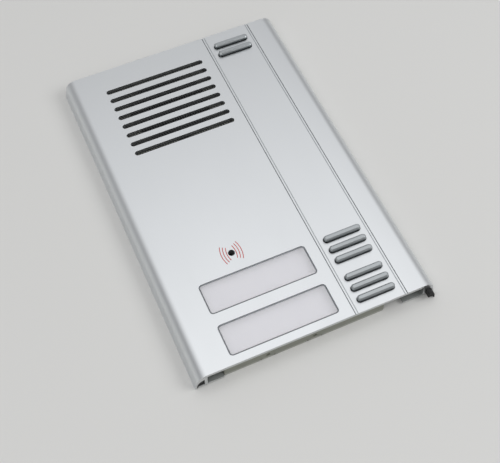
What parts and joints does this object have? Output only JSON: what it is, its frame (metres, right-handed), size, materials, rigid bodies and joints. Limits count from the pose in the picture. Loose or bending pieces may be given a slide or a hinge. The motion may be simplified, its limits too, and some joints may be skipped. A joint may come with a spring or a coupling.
{
  "type": "door intercom module",
  "caption": "Flat aluminium door station with loudspeaker grille, lit name windows, bell buttons, microphone, rear electronics and side rails for a wall plate.",
  "frame": {"origin": "middle of the rear plane, the plane that meets the wall", "axes": "+Z out of the wall through the face, +Y along the module to its grille end, +X to the right as the face is looked at"},
  "size_m": [0.1324, 0.203, 0.0134],
  "materials": {
    "satin_aluminium": "fine satin anodised",
    "bar_metal": "satin anodised",
    "seal_rubber": "matt black",
    "dome_rubber": "matt grey",
    "contact_carbon": "carbon filled, matt",
    "chassis_plastic": "moulded, fine grain",
    "cover_plastic": "moulded, fine grain",
    "zinc_steel": "zinc plated",
    "black_sheet": "matt black",
    "cone_paper": "black pressed paper",
    "coil_copper": "enamelled wire",
    "magnet": "nickel plated",
    "clear_plastic": "polished clear",
    "card": "plain",
    "frosted_plastic": "frosted",
    "lamp": "white body, yellow face",
    "capsule": "drawn can",
    "board": "green mask",
    "terminal_plastic": "moulded",
    "trimmer_case": "moulded",
    "trimmer_knob": "moulded",
    "sleeve": "shrunk sleeve",
    "chip": "moulded",
    "core": "sintered core",
    "flat_cable": "grey ribbon"
  },
  "bodies": {
    "housing": {"front_profile": "satin_aluminium", "trim_bars": "bar_metal", "seal_strip_left": "seal_rubber", "seal_strip_right": "seal_rubber", "microphone_boot": "seal_rubber", "speaker_gasket": "seal_rubber", "key_dome_upper": "dome_rubber", "key_dome_lower": "dome_rubber", "chassis": "chassis_plastic", "rear_cover": "cover_plastic", "weld_studs": "zinc_steel", "stud_nuts": "zinc_steel", "cover_screws": "zinc_steel", "speaker_clips": "zinc_steel", "speaker_clip_screws": "zinc_steel", "key_board_screws": "zinc_steel", "speaker_basket": "zinc_steel", "speaker_yoke": "zinc_steel", "speaker_pole": "zinc_steel", "grille_mesh": "black_sheet", "speaker_cone": "cone_paper", "voice_coil": "coil_copper", "speaker_magnet": "magnet", "window_upper": "clear_plastic", "window_lower": "clear_plastic", "name_card_upper": "card", "name_card_lower": "card", "light_guide_upper": "frosted_plastic", "light_guide_lower": "frosted_plastic", "window_lamps": "lamp", "microphone_capsule": "capsule", "key_board": "board", "audio_board": "board", "terminal_strip": "terminal_plastic", "trimmer_bodies": "trimmer_case", "capacitors": "sleeve", "audio_chips": "chip", "line_transformer": "core", "board_link": "flat_cable", "speaker_lead": "flat_cable"},
    "button_upper": {"bell_button_upper": "bar_metal", "contact_pill_upper": "contact_carbon"},
    "button_lower": {"bell_button_lower": "bar_metal", "contact_pill_lower": "contact_carbon"},
    "rotor_speaker": {"trimmer_rotor_speaker": "trimmer_knob"},
    "rotor_microphone": {"trimmer_rotor_microphone": "trimmer_knob"}
  },
  "joints": [
    {"name": "upper_button_press", "type": "slide", "parent": "housing", "child": "button_upper", "axis": [0, 0, -1], "range_m": [0, 0.001], "stiffness_N_per_m": 1500, "springref_m": -0.0004, "deforming": ["key_dome_upper"]},
    {"name": "lower_button_press", "type": "slide", "parent": "housing", "child": "button_lower", "axis": [0, 0, -1], "range_m": [0, 0.001], "stiffness_N_per_m": 1500, "springref_m": -0.0004, "deforming": ["key_dome_lower"]},
    {"name": "speaker_volume_turn", "type": "hinge", "parent": "housing", "child": "rotor_speaker", "pos_m": [-0.032, -0.02, 0.0035], "axis": [0, 0, -1], "range_deg": [-105, 105]},
    {"name": "microphone_volume_turn", "type": "hinge", "parent": "housing", "child": "rotor_microphone", "pos_m": [-0.019, -0.02, 0.0035], "axis": [0, 0, -1], "range_deg": [-105, 105]}
  ]
}
